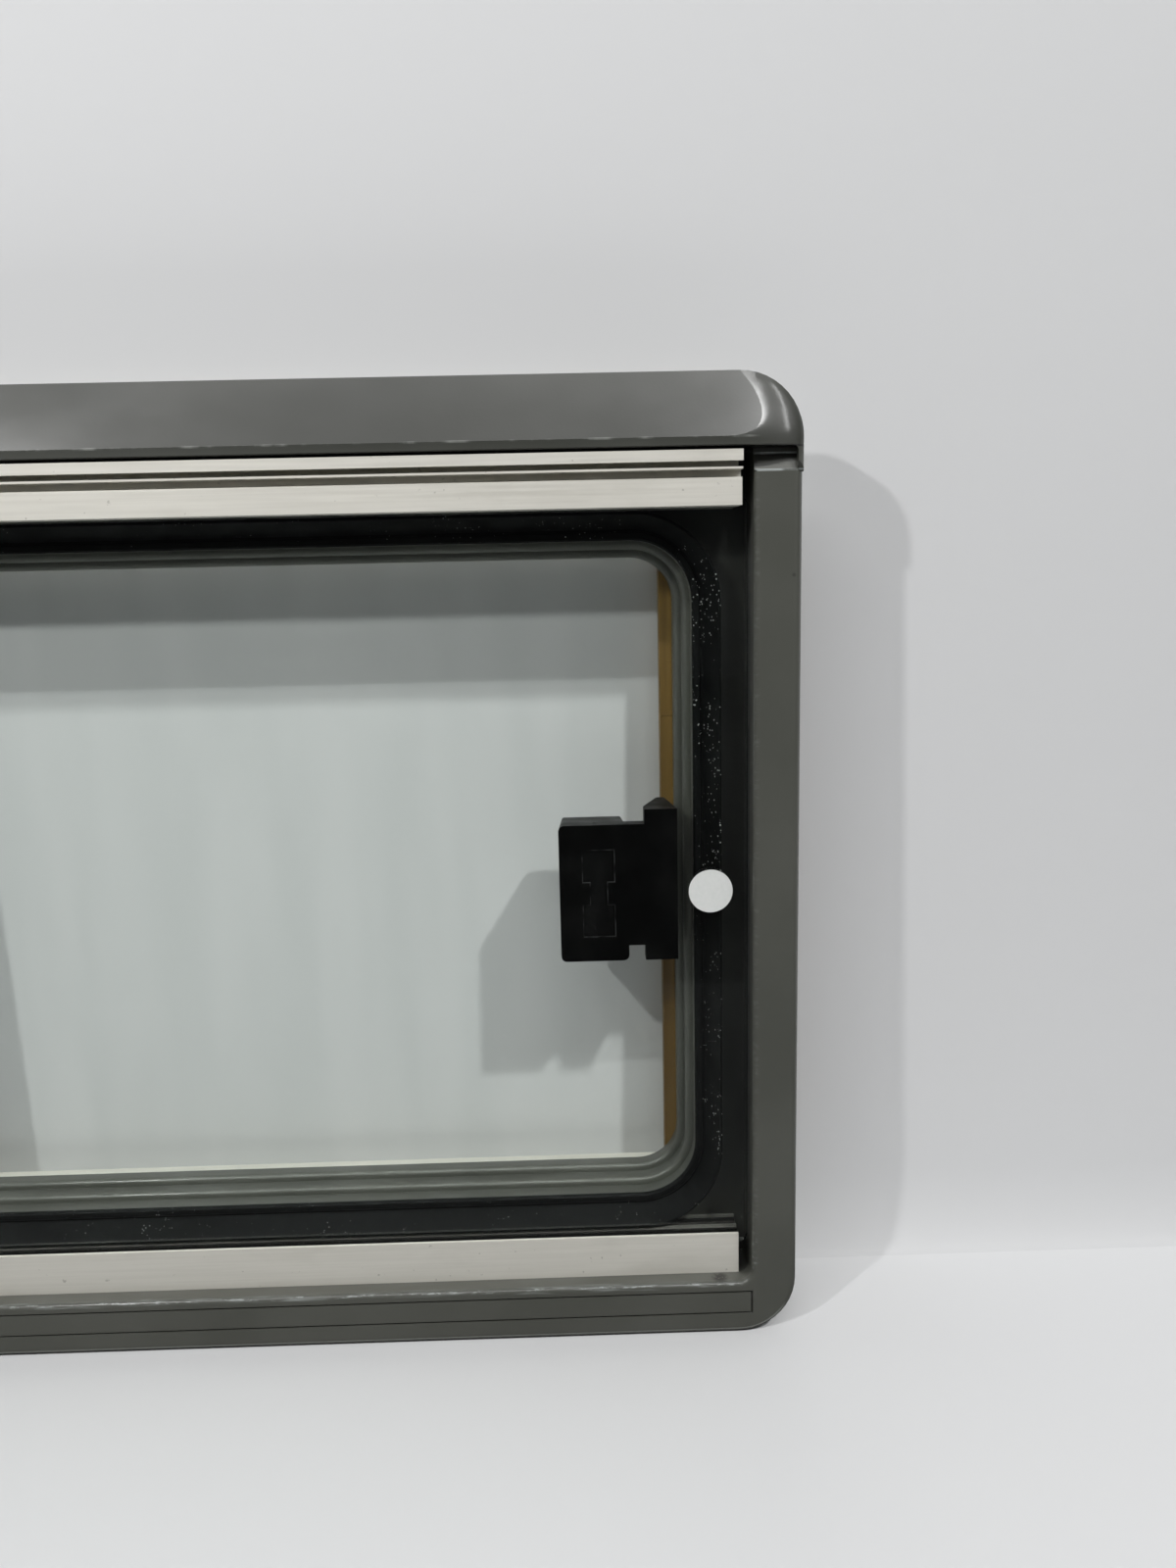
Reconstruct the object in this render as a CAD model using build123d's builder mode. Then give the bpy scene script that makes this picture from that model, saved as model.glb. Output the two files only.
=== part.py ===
"""Sliding caravan window: moulded frame, two grooved rails, a fixed pane and a sliding pane with its latch.

Millimetres, +Z up, +X to the right as seen from outside, the outside looks along -Y.
The origin is on the flange face that seals against the wall's outer skin, in the middle of its bottom run.
"""
import math
import os

from build123d import *

os.makedirs("parts", exist_ok=True)

# Wall cut-out and the flange that laps it
CUTOUT_W = 900.0
CUTOUT_H = 450.0
CUTOUT_GAP = 1.0
WALL_T = 40.0
FLANGE_OVERLAP = 21.3
FLANGE_T = 16.0
FLANGE_EDGE_R = 4.5
FLANGE_LIP_R = 2.5
OUTER_CORNER_R = 30.0
PLUG_CORNER_R = 18.0

# Rain hood along the top: its face slopes out to a crease over an upright rim, and rounds back at both ends
HOOD_H = 34.4
HOOD_FACE_H = 30.2
HOOD_T = 24.0
HOOD_EDGE_T = 15.0
HOOD_SHOULDER = 11.0
HOOD_END_LEAN = 32.0
HOOD_ROUND_STEPS = 4
HOOD_END_H = 46.0
HOOD_FRONT_CORNER_R = 3.5
HOOD_LIP_EASE = 0.5
HOOD_END_WALL = 3.0
HOOD_END_R = 2.4
NOTCH_DEPTH = 3.5
NOTCH_H = 2.8
NOTCH_BEVEL = 7.8

# Sill with a grooved outline round its middle band
SILL_H = 29.5
SILL_CORNER_R = 7.0
SILL_BAND_LOW = 11.6
SILL_BAND_H = 13.1
SILL_BAND_END = 23.0
SILL_GROOVE_W = 1.1
SILL_GROOVE_DEPTH = 1.4

# Recess that takes the rails and panes
JAMB_W = 23.2
RECESS_CORNER_R = 2.5
RAIL_FRONT_Y = -6.0
WEB_T = 6.0

# Rails: three legs round two tracks, over a hollow base
TRACK_PITCH = 10.0
LEG_T = 1.6
RAIL_WALL = 1.8
RAIL_END_GAP = 6.0
BOTTOM_RAIL_H = 22.4
TOP_RAIL_H = 26.4
TOP_STRIP_DROP = 1.4
TOP_STRIP_H = 5.2
TOP_STRIP_PROUD = 16.5
TOP_SLOT_H = 2.6
TOP_LIP_H = 1.0
TOP_LIP_PROUD = 15.2
TOP_GROOVE_H = 3.5
TOP_GROOVE_DEPTH = 5.0
TOP_FACE_PROUD = 12.5

# Pile liner in each track
LINER_FLOOR_T = 1.5
LINER_EDGE_DROP = 1.2
LINER_GLASS_GAP = 0.5

# Glass
GLASS_T = 4.0
GLASS_CORNER_R = 4.0
GLASS_EDGE_GAP = 0.8
GLASS_SEAT_GAP = 0.3
GLASS_LIFT_GAP = 7.5
GLASS_LOW_BITE = 6.5
GLASS_HIGH_BITE = 4.5
PANE_OVERLAP = 15.0

# Meeting stiles on the two overlapping edges
STILE_W = 23.0
STILE_WALL = 2.0
STILE_EDGE_R = 1.2
STILE_END_GAP = 2.5
PILE_W = 7.0
PILE_GAP = 0.4

# Lip seals behind the panes, and the stepped reveal behind them
SEAL_SIDE_INSET = 35.8
SEAL_RAIL_GAP = 0.3
SEAL_W = 14.0
SEAL_BASE_T = 1.2
SEAL_BEAD_W = 4.4
SEAL_BEAD_H = 2.4
SEAL_BEAD_ROUND = 0.9
SEAL_GROOVE_W = 0.9
SEAL_ROOT_W = 4.5
SEAL_TIP_INSET = 1.0
SEAL_TIP_T = 1.0
SEAL_GLASS_GAP = 0.5
SEAL_JOINT_GAP = 0.2
REVEAL_STEP_COUNT = 3
REVEAL_STEP = 4.0
REVEAL_STEP_R = 2.8
REVEAL_LIP_WALL = 4.0
REVEAL_CORNER_R = 30.0

# Rear clamping strips on the wall's inner skin
STRIP_T = 10.0
CROSS_T = 6.0
STRIP_OVERLAP = 19.0
STRIP_CORNER_R = 30.0
STRIP_PROUD = 6.5
STRIP_CHAMFER = 0.8
STRIP_JOINT_DROP = 165.8
STRIP_JOINT_GAP = 0.2

# Latch on the inner side of the sliding pane
LATCH_DROP = 42.0
LATCH_GRIP_W = 35.0
LATCH_GRIP_H = 71.5
LATCH_GRIP_D = 33.0
LATCH_DRAFT = 3.5
LATCH_EDGE_R = 3.0
LATCH_NECK_W = 8.5
LATCH_NECK_H = 63.5
LATCH_NECK_D = 8.0
LATCH_CATCH_W = 16.7
LATCH_CATCH_H = 79.0
LATCH_CATCH_D = 32.0
LATCH_CATCH_TIP_W = 4.0
LATCH_CATCH_DRAFT = 4.0
LATCH_CATCH_R = 1.5
LATCH_LIP_GAP = 1.5
POCKET_W = 16.0
POCKET_H = 16.5
POCKET_PITCH = 28.8
POCKET_LINK_W = 8.5
POCKET_SHIFT = 2.5
POCKET_DEPTH = 1.2

# How close two places lie to count as one, when a face or an edge is picked
NEAR = 0.01

# Places that follow from the sizes
PLUG_W = CUTOUT_W - 2 * CUTOUT_GAP
PLUG_H = CUTOUT_H - 2 * CUTOUT_GAP
OUTER_W = PLUG_W + 2 * FLANGE_OVERLAP
OUTER_H = PLUG_H + 2 * FLANGE_OVERLAP
HALF_W = OUTER_W / 2
BOTTOM_Z = -FLANGE_OVERLAP / 2
TOP_Z = BOTTOM_Z + OUTER_H
MIDDLE_Z = BOTTOM_Z + OUTER_H / 2

RECESS_HALF_W = HALF_W - JAMB_W
RECESS_LOW_Z = BOTTOM_Z + SILL_H
RECESS_HIGH_Z = TOP_Z - HOOD_H
RECESS_H = RECESS_HIGH_Z - RECESS_LOW_Z
RECESS_MIDDLE_Z = RECESS_LOW_Z + RECESS_H / 2
JAMB_TOP_Z = RECESS_HIGH_Z - NOTCH_H - NOTCH_BEVEL
RAIL_DEPTH = 2 * TRACK_PITCH + LEG_T
RAIL_BACK_Y = RAIL_FRONT_Y + RAIL_DEPTH
RAIL_MIDDLE_Y = RAIL_FRONT_Y + RAIL_DEPTH / 2
RAIL_HALF_L = RECESS_HALF_W - RAIL_END_GAP
WEB_BACK_Y = RAIL_BACK_Y + WEB_T

TRACK_W = TRACK_PITCH - LEG_T
FRONT_TRACK_Y = RAIL_FRONT_Y + LEG_T + TRACK_W / 2
REAR_TRACK_Y = FRONT_TRACK_Y + TRACK_PITCH
BOTTOM_TRACK_DEPTH = GLASS_LOW_BITE + GLASS_SEAT_GAP + LINER_FLOOR_T
TOP_TRACK_DEPTH = GLASS_HIGH_BITE + GLASS_LIFT_GAP + LINER_FLOOR_T
BOTTOM_CHAMBER_H = BOTTOM_RAIL_H - BOTTOM_TRACK_DEPTH - 2 * RAIL_WALL
TOP_CHAMBER_H = TOP_RAIL_H - TOP_TRACK_DEPTH - 2 * RAIL_WALL
LINER_SIDE_T = (TRACK_W - GLASS_T) / 2 - LINER_GLASS_GAP
SIGHT_LOW_Z = RECESS_LOW_Z + BOTTOM_RAIL_H
SIGHT_HIGH_Z = RECESS_HIGH_Z - TOP_RAIL_H

GLASS_LOW_Z = SIGHT_LOW_Z - GLASS_LOW_BITE
GLASS_HIGH_Z = SIGHT_HIGH_Z + GLASS_HIGH_BITE
GLASS_END_X = RECESS_HALF_W - GLASS_EDGE_GAP
FRONT_GLASS_BACK_Y = FRONT_TRACK_Y + GLASS_T / 2
REAR_GLASS_BACK_Y = REAR_TRACK_Y + GLASS_T / 2

STILE_LOW_Z = SIGHT_LOW_Z + STILE_END_GAP
STILE_HIGH_Z = SIGHT_HIGH_Z - STILE_END_GAP
STILE_T = GLASS_T + 2 * STILE_WALL
STILE_OUT_X = PANE_OVERLAP + STILE_WALL
STILE_GAP = TRACK_PITCH - STILE_T

OPENING_W = OUTER_W - 2 * (SEAL_SIDE_INSET + SEAL_W)
OPENING_LOW_Z = SIGHT_LOW_Z + SEAL_RAIL_GAP + SEAL_W
OPENING_HIGH_Z = SIGHT_HIGH_Z - SEAL_RAIL_GAP - SEAL_W
OPENING_H = OPENING_HIGH_Z - OPENING_LOW_Z
OPENING_MIDDLE_Z = OPENING_LOW_Z + OPENING_H / 2
RIGHT_SEAL_END_X = STILE_OUT_X + SEAL_JOINT_GAP
LEFT_SEAL_END_X = STILE_OUT_X - STILE_W - SEAL_JOINT_GAP
LIP_INSET = REVEAL_STEP * (REVEAL_STEP_COUNT - 1)
LIP_HALF_W = OPENING_W / 2 - LIP_INSET
REVEAL_STEP_D = (WALL_T - RAIL_BACK_Y) / REVEAL_STEP_COUNT

STRIP_OUT_X = CUTOUT_W / 2 + STRIP_OVERLAP
STRIP_IN_X = LIP_HALF_W - STRIP_PROUD
STRIP_LOW_Z = OPENING_LOW_Z + LIP_INSET
STRIP_HIGH_Z = OPENING_HIGH_Z - LIP_INSET
CROSS_LOW_Z = MIDDLE_Z - CUTOUT_H / 2 - STRIP_OVERLAP
CROSS_HIGH_Z = MIDDLE_Z + CUTOUT_H / 2 + STRIP_OVERLAP
STRIP_JOINT_Z = TOP_Z - STRIP_JOINT_DROP

LATCH_LOW_Z = MIDDLE_Z - LATCH_DROP
CATCH_OUT_X = LIP_HALF_W - LATCH_LIP_GAP
CATCH_IN_X = CATCH_OUT_X - LATCH_CATCH_W
GRIP_OUT_X = CATCH_IN_X - LATCH_NECK_W
GRIP_X = GRIP_OUT_X - LATCH_GRIP_W / 2
GRIP_Z = LATCH_LOW_Z + LATCH_GRIP_H / 2


def across(y):
    """Plane across the depth of the window at y, seen from outside, with +X and +Z as its own axes."""
    return Plane.XZ.offset(-y)


def beside_recess(point):
    """Whether a point on the flange's front lies on the recess's edge, and not on the window's outline."""
    return abs(point.X) < RECESS_HALF_W + NEAR and point.Z > RECESS_LOW_Z - NEAR


# Form of the rain hood, before it joins the frame: an upright edge, and a face that slopes out to the crease
with BuildPart() as hood_form:
    with BuildSketch(across(-HOOD_SHOULDER)) as edge_outline:
        with Locations((0, TOP_Z)):
            Rectangle(OUTER_W, HOOD_END_H, align=(Align.CENTER, Align.MAX))
        fillet(edge_outline.vertices().group_by(Axis.Y)[-1], OUTER_CORNER_R)
    extrude(amount=HOOD_EDGE_T - HOOD_SHOULDER)
    for turn in range(HOOD_ROUND_STEPS + 1):
        angle = math.radians(90) * turn / HOOD_ROUND_STEPS
        reach = math.sin(angle)
        lean = 1 - math.cos(angle)
        section_y = -HOOD_EDGE_T - (HOOD_T - HOOD_EDGE_T) * reach
        section_w = OUTER_W - 2 * HOOD_END_LEAN * lean
        section_top_z = TOP_Z - HOOD_FACE_H * reach
        section_low_z = TOP_Z - HOOD_END_H + (HOOD_END_H - HOOD_H) * reach
        with BuildSketch(across(section_y)) as section:
            with Locations((0, section_low_z)):
                Rectangle(section_w, section_top_z - section_low_z, align=(Align.CENTER, Align.MIN))
            fillet(
                section.vertices().group_by(Axis.Y)[-1],
                OUTER_CORNER_R - (OUTER_CORNER_R - HOOD_FRONT_CORNER_R) * reach,
            )
    loft()
    with BuildSketch(across(-HOOD_T)):
        with Locations((0, JAMB_TOP_Z)):
            Rectangle(OUTER_W - 2 * HOOD_END_WALL, HOOD_END_H, align=(Align.CENTER, Align.MAX))
    extrude(amount=-(HOOD_T - HOOD_SHOULDER), mode=Mode.SUBTRACT)


# Moulded frame: flange ring with hood, a plug through the wall, and a stepped reveal behind the panes
with BuildPart() as outer_frame:
    with BuildSketch(across(0)) as ring:
        with Locations((0, MIDDLE_Z)):
            RectangleRounded(OUTER_W, OUTER_H, OUTER_CORNER_R)
        with Locations((0, RECESS_MIDDLE_Z)):
            RectangleRounded(2 * RECESS_HALF_W, RECESS_H, SILL_CORNER_R, mode=Mode.SUBTRACT)
    extrude(amount=HOOD_SHOULDER)
    with BuildSketch(across(-HOOD_SHOULDER)):
        add(ring.sketch_local)
        with Locations((0, JAMB_TOP_Z)):
            Rectangle(OUTER_W, OUTER_H, align=(Align.CENTER, Align.MIN), mode=Mode.SUBTRACT)
    extrude(amount=FLANGE_T - HOOD_SHOULDER)
    for radius, is_inner in ((FLANGE_EDGE_R, False), (FLANGE_LIP_R, True)):
        rim = outer_frame.faces().sort_by(Axis.Y)[0].edges().sort_by(Axis.Z)[:-2]
        fillet(rim.filter_by(lambda e: beside_recess(e.center()) == is_inner), radius)
    add(hood_form.part)
    with BuildSketch(across(0)):
        with Locations((0, MIDDLE_Z)):
            RectangleRounded(PLUG_W, PLUG_H, PLUG_CORNER_R)
    extrude(amount=-WEB_BACK_Y)

    # Recess for the rails, and the notched hollow under the hood
    with BuildSketch(across(RAIL_FRONT_Y)):
        with Locations((0, RECESS_MIDDLE_Z)):
            RectangleRounded(2 * RECESS_HALF_W, RECESS_H, RECESS_CORNER_R)
    extrude(amount=-RAIL_DEPTH, mode=Mode.SUBTRACT)
    with BuildSketch(across(-HOOD_T)):
        with Locations((0, RECESS_HIGH_Z)):
            Rectangle(2 * RECESS_HALF_W, HOOD_END_H, align=(Align.CENTER, Align.MAX))
    extrude(amount=-(HOOD_T + RAIL_FRONT_Y), mode=Mode.SUBTRACT)
    with BuildSketch(Plane.YZ):
        with BuildLine():
            Polyline(
                (-HOOD_T, RECESS_HIGH_Z + HOOD_LIP_EASE),
                (HOOD_LIP_EASE - HOOD_T, RECESS_HIGH_Z),
                (NOTCH_DEPTH - FLANGE_T, RECESS_HIGH_Z),
                (NOTCH_DEPTH - FLANGE_T, RECESS_HIGH_Z - NOTCH_H),
                (-FLANGE_T, JAMB_TOP_Z),
                (-HOOD_T, JAMB_TOP_Z),
                close=True,
            )
        make_face()
    extrude(amount=HALF_W - HOOD_END_WALL, both=True, mode=Mode.SUBTRACT)
    ceiling = outer_frame.faces().filter_by(lambda f: abs(f.center().Z - RECESS_HIGH_Z) < NEAR).sort_by(Axis.Y)[0]
    fillet(ceiling.edges().filter_by(Axis.Y).group_by(lambda e: abs(e.center().X))[-1], HOOD_END_R)

    # Reveal: a tube behind the web, opened in rounded steps
    with BuildSketch(across(WEB_BACK_Y)):
        with Locations((0, OPENING_MIDDLE_Z)):
            RectangleRounded(
                OPENING_W + 2 * REVEAL_LIP_WALL,
                OPENING_H + 2 * REVEAL_LIP_WALL,
                REVEAL_CORNER_R + REVEAL_LIP_WALL,
            )
    extrude(amount=-(WALL_T - WEB_BACK_Y))
    for step in range(REVEAL_STEP_COUNT):
        inset = REVEAL_STEP * step
        step_y = RAIL_BACK_Y + REVEAL_STEP_D * step
        with BuildSketch(across(step_y)):
            with Locations((0, OPENING_MIDDLE_Z)):
                RectangleRounded(OPENING_W - 2 * inset, OPENING_H - 2 * inset, REVEAL_CORNER_R - inset)
        extrude(amount=-REVEAL_STEP_D, mode=Mode.SUBTRACT)
        if step > 0:
            ledge = outer_frame.faces().filter_by(lambda f: abs(f.center().Y - step_y) < NEAR)[0]
            fillet(ledge.inner_wires()[0].edges(), REVEAL_STEP_R)

    # Groove round the sill's middle band
    with BuildSketch(across(-FLANGE_T)):
        with Locations((0, BOTTOM_Z + SILL_BAND_LOW + SILL_BAND_H / 2)):
            Rectangle(OUTER_W - 2 * SILL_BAND_END, SILL_BAND_H)
            Rectangle(
                OUTER_W - 2 * SILL_BAND_END - 2 * SILL_GROOVE_W,
                SILL_BAND_H - 2 * SILL_GROOVE_W,
                mode=Mode.SUBTRACT,
            )
    extrude(amount=-SILL_GROOVE_DEPTH, mode=Mode.SUBTRACT)
outer_frame.part.label = "outer_frame"
export_step(outer_frame.part, "parts/outer_frame.step")


# Bottom rail: three equal legs round two tracks, over two closed chambers
with BuildPart() as bottom_rail:
    with BuildSketch(Plane.YZ):
        with Locations((RAIL_MIDDLE_Y, RECESS_LOW_Z)):
            Rectangle(RAIL_DEPTH, BOTTOM_RAIL_H, align=(Align.CENTER, Align.MIN))
        with Locations((RAIL_MIDDLE_Y, SIGHT_LOW_Z)):
            with GridLocations(TRACK_PITCH, 0, 2, 1):
                Rectangle(TRACK_W, BOTTOM_TRACK_DEPTH, align=(Align.CENTER, Align.MAX), mode=Mode.SUBTRACT)
        with Locations((RAIL_MIDDLE_Y, RECESS_LOW_Z + RAIL_WALL)):
            with GridLocations(TRACK_PITCH, 0, 2, 1):
                Rectangle(TRACK_W, BOTTOM_CHAMBER_H, align=(Align.CENTER, Align.MIN), mode=Mode.SUBTRACT)
    extrude(amount=RAIL_HALF_L, both=True)
bottom_rail.part.label = "bottom_rail"
export_step(bottom_rail.part, "parts/bottom_rail.step")


# Top rail: the same legs hanging down, and a boxed head with a hooked strip, a slot, a lip and a groove
with BuildPart() as top_rail:
    strip_y = RAIL_FRONT_Y - TOP_STRIP_PROUD
    lip_y = RAIL_FRONT_Y - TOP_LIP_PROUD
    face_y = RAIL_FRONT_Y - TOP_FACE_PROUD
    strip_high_z = RECESS_HIGH_Z - TOP_STRIP_DROP
    lip_high_z = strip_high_z - TOP_STRIP_H - TOP_SLOT_H
    lip_low_z = lip_high_z - TOP_LIP_H
    face_h = lip_low_z - TOP_GROOVE_H - SIGHT_HIGH_Z
    with BuildSketch(Plane.YZ):
        with Locations((RAIL_MIDDLE_Y, RECESS_HIGH_Z)):
            Rectangle(RAIL_DEPTH, TOP_RAIL_H, align=(Align.CENTER, Align.MAX))
        with Locations((RAIL_MIDDLE_Y, SIGHT_HIGH_Z)):
            with GridLocations(TRACK_PITCH, 0, 2, 1):
                Rectangle(TRACK_W, TOP_TRACK_DEPTH, align=(Align.CENTER, Align.MIN), mode=Mode.SUBTRACT)
        with Locations((RAIL_MIDDLE_Y, RECESS_HIGH_Z - RAIL_WALL)):
            with GridLocations(TRACK_PITCH, 0, 2, 1):
                Rectangle(TRACK_W, TOP_CHAMBER_H, align=(Align.CENTER, Align.MAX), mode=Mode.SUBTRACT)
        with Locations((strip_y, strip_high_z)):
            Rectangle(TOP_STRIP_PROUD, LEG_T, align=(Align.MIN, Align.MAX))
            Rectangle(LEG_T, TOP_STRIP_H, align=(Align.MIN, Align.MAX))
        with Locations((face_y, SIGHT_HIGH_Z)):
            Rectangle(TOP_FACE_PROUD, lip_high_z - SIGHT_HIGH_Z, align=(Align.MIN, Align.MIN))
        with Locations((face_y, lip_low_z)):
            Rectangle(TOP_GROOVE_DEPTH, TOP_GROOVE_H, align=(Align.MIN, Align.MAX), mode=Mode.SUBTRACT)
        with Locations((lip_y, lip_low_z)):
            Rectangle(TOP_LIP_PROUD, TOP_LIP_H, align=(Align.MIN, Align.MIN))
        with Locations((face_y + RAIL_WALL, SIGHT_HIGH_Z + RAIL_WALL)):
            Rectangle(
                TOP_FACE_PROUD - RAIL_WALL,
                face_h - 2 * RAIL_WALL,
                align=(Align.MIN, Align.MIN),
                mode=Mode.SUBTRACT,
            )
    extrude(amount=RAIL_HALF_L, both=True)
top_rail.part.label = "top_rail"
export_step(top_rail.part, "parts/top_rail.step")


def track_liner(name, track_y, floor_z, upward, depth):
    """Pile channel that lines one track: upward is 1 for a track open to the top, -1 for one open below."""
    floor = (Align.CENTER, Align.MIN if upward > 0 else Align.MAX)
    with BuildPart() as liner:
        with BuildSketch(Plane.YZ):
            with Locations((track_y, floor_z)):
                Rectangle(TRACK_W, depth - LINER_EDGE_DROP, align=floor)
            with Locations((track_y, floor_z + upward * LINER_FLOOR_T)):
                Rectangle(TRACK_W - 2 * LINER_SIDE_T, depth, align=floor, mode=Mode.SUBTRACT)
        extrude(amount=RAIL_HALF_L, both=True)
    liner.part.label = name
    export_step(liner.part, f"parts/{name}.step")


for place, track_y in (("front", FRONT_TRACK_Y), ("rear", REAR_TRACK_Y)):
    track_liner(f"bottom_{place}_liner", track_y, SIGHT_LOW_Z - BOTTOM_TRACK_DEPTH, 1, BOTTOM_TRACK_DEPTH)
    track_liner(f"top_{place}_liner", track_y, SIGHT_HIGH_Z + TOP_TRACK_DEPTH, -1, TOP_TRACK_DEPTH)


def glass_pane(name, track_y, low_x, high_x):
    """Sheet of toughened glass with ground corners."""
    with BuildPart() as pane:
        with BuildSketch(across(track_y + GLASS_T / 2)):
            with Locations(((low_x + high_x) / 2, (GLASS_LOW_Z + GLASS_HIGH_Z) / 2)):
                RectangleRounded(high_x - low_x, GLASS_HIGH_Z - GLASS_LOW_Z, GLASS_CORNER_R)
        extrude(amount=GLASS_T)
    pane.part.label = name
    export_step(pane.part, f"parts/{name}.step")


glass_pane("sliding_glass", FRONT_TRACK_Y, -PANE_OVERLAP, GLASS_END_X)
glass_pane("fixed_glass", REAR_TRACK_Y, -GLASS_END_X, PANE_OVERLAP)


def meeting_stile(name, track_y, side):
    """Channel over the overlapping edge of a pane: side is -1 for its left edge, 1 for its right."""
    inward = (Align.MIN if side < 0 else Align.MAX, Align.CENTER)
    with BuildPart() as stile:
        with BuildSketch(Plane.XY.offset(STILE_LOW_Z)):
            with Locations((side * STILE_OUT_X, track_y)):
                RectangleRounded(STILE_W, STILE_T, STILE_EDGE_R, align=inward)
            with Locations((side * PANE_OVERLAP, track_y)):
                Rectangle(STILE_W, GLASS_T, align=inward, mode=Mode.SUBTRACT)
        extrude(amount=STILE_HIGH_Z - STILE_LOW_Z)
    stile.part.label = name
    export_step(stile.part, f"parts/{name}.step")


meeting_stile("sliding_stile", FRONT_TRACK_Y, -1)
meeting_stile("fixed_stile", REAR_TRACK_Y, 1)


# Pile strip on the fixed stile, which brushes the sliding stile
with BuildPart() as meeting_pile:
    with BuildSketch(across(REAR_TRACK_Y - STILE_T / 2)):
        with Locations((0, (STILE_LOW_Z + STILE_HIGH_Z) / 2)):
            Rectangle(PILE_W, STILE_HIGH_Z - STILE_LOW_Z)
    extrude(amount=STILE_GAP - PILE_GAP)
meeting_pile.part.label = "meeting_pile"
export_step(meeting_pile.part, "parts/meeting_pile.step")


def lip_seal(name, glass_back_y, end_x, side):
    """Half of the rubber seal round the opening, from and to the meeting stile: side is 1 on the right.

    Its section has a bead along the opening, a groove, and a lip that flares outwards to the glass.
    """
    height = RAIL_BACK_Y - glass_back_y - SEAL_GLASS_GAP
    groove_x = SEAL_BEAD_W + SEAL_GROOVE_W
    tip_x = SEAL_W - SEAL_TIP_INSET
    first_z, last_z = (OPENING_LOW_Z, OPENING_HIGH_Z) if side > 0 else (OPENING_HIGH_Z, OPENING_LOW_Z)
    with BuildPart() as seal:
        with BuildLine(across(RAIL_BACK_Y)) as path:
            FilletPolyline(
                (end_x, first_z),
                (side * OPENING_W / 2, first_z),
                (side * OPENING_W / 2, last_z),
                (end_x, last_z),
                radius=REVEAL_CORNER_R,
            )
        with BuildSketch(Plane((end_x, RAIL_BACK_Y, first_z), x_dir=(0, 0, -side), z_dir=(-side, 0, 0))):
            with BuildLine():
                Polyline(
                    (0, 0),
                    (0, SEAL_BEAD_H - SEAL_BEAD_ROUND),
                    (SEAL_BEAD_ROUND, SEAL_BEAD_H),
                    (SEAL_BEAD_W - SEAL_BEAD_ROUND, SEAL_BEAD_H),
                    (SEAL_BEAD_W, SEAL_BASE_T),
                    (groove_x, SEAL_BASE_T),
                    (tip_x - SEAL_TIP_T, height),
                    (tip_x, height),
                    (groove_x + SEAL_ROOT_W, SEAL_BASE_T),
                    (SEAL_W, SEAL_BASE_T),
                    (SEAL_W, 0),
                    close=True,
                )
            make_face()
        sweep(path=path.line)
    seal.part.label = name
    export_step(seal.part, f"parts/{name}.step")


lip_seal("right_seal", FRONT_GLASS_BACK_Y, RIGHT_SEAL_END_X, 1)
lip_seal("left_seal", REAR_GLASS_BACK_Y, LEFT_SEAL_END_X, -1)


def rear_strip(name, thickness, low_x, high_x, low_z, high_z, round_end=None):
    """Clamping strip behind the reveal's rim, with its back edges eased.

    round_end is Align.MIN or Align.MAX where its lower or upper corners follow the frame's round corners.
    """
    with BuildPart() as strip:
        with BuildSketch(across(WALL_T)) as outline:
            with Locations(((low_x + high_x) / 2, (low_z + high_z) / 2)):
                Rectangle(high_x - low_x, high_z - low_z)
            if round_end:
                corners = outline.vertices().group_by(Axis.Y)
                fillet(corners[0] if round_end == Align.MIN else corners[-1], STRIP_CORNER_R)
        extrude(amount=-thickness)
        chamfer(strip.faces().sort_by(Axis.Y)[-1].edges(), STRIP_CHAMFER)
    strip.part.label = name
    export_step(strip.part, f"parts/{name}.step")


rear_strip("rear_strip_top", CROSS_T, -STRIP_OUT_X, STRIP_OUT_X, STRIP_HIGH_Z, CROSS_HIGH_Z, Align.MAX)
rear_strip("rear_strip_bottom", CROSS_T, -STRIP_OUT_X, STRIP_OUT_X, CROSS_LOW_Z, STRIP_LOW_Z, Align.MIN)
for place, side in (("right", 1), ("left", -1)):
    low_x, high_x = sorted((side * STRIP_IN_X, side * STRIP_OUT_X))
    upper_low_z = STRIP_JOINT_Z + STRIP_JOINT_GAP
    rear_strip(f"rear_strip_{place}_upper", STRIP_T, low_x, high_x, upper_low_z, STRIP_HIGH_Z)
    rear_strip(f"rear_strip_{place}_lower", STRIP_T, low_x, high_x, STRIP_LOW_Z, STRIP_JOINT_Z)


# Latch grip: a drafted block with rounded edges, pocketed on its glass side, and a neck towards the catch
with BuildPart() as latch_grip:
    with BuildSketch(across(FRONT_GLASS_BACK_Y)):
        with Locations((GRIP_X, GRIP_Z)):
            RectangleRounded(LATCH_GRIP_W, LATCH_GRIP_H, LATCH_EDGE_R)
    extrude(amount=-LATCH_GRIP_D, taper=LATCH_DRAFT)
    fillet(latch_grip.faces().sort_by(Axis.Y)[-1].edges(), LATCH_EDGE_R)
    with BuildSketch(across(FRONT_GLASS_BACK_Y)):
        with Locations((GRIP_X, GRIP_Z + LATCH_GRIP_H / 2)):
            Rectangle(LATCH_GRIP_W / 2 + LATCH_NECK_W, LATCH_NECK_H, align=(Align.MIN, Align.MAX))
    extrude(amount=-LATCH_NECK_D)
    with BuildSketch(across(FRONT_GLASS_BACK_Y)):
        with Locations((GRIP_X + POCKET_SHIFT, GRIP_Z)):
            with GridLocations(0, POCKET_PITCH, 1, 2):
                Rectangle(POCKET_W, POCKET_H)
            Rectangle(POCKET_LINK_W, POCKET_PITCH)
    extrude(amount=-POCKET_DEPTH, mode=Mode.SUBTRACT)
latch_grip.part.label = "latch_grip"
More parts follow.
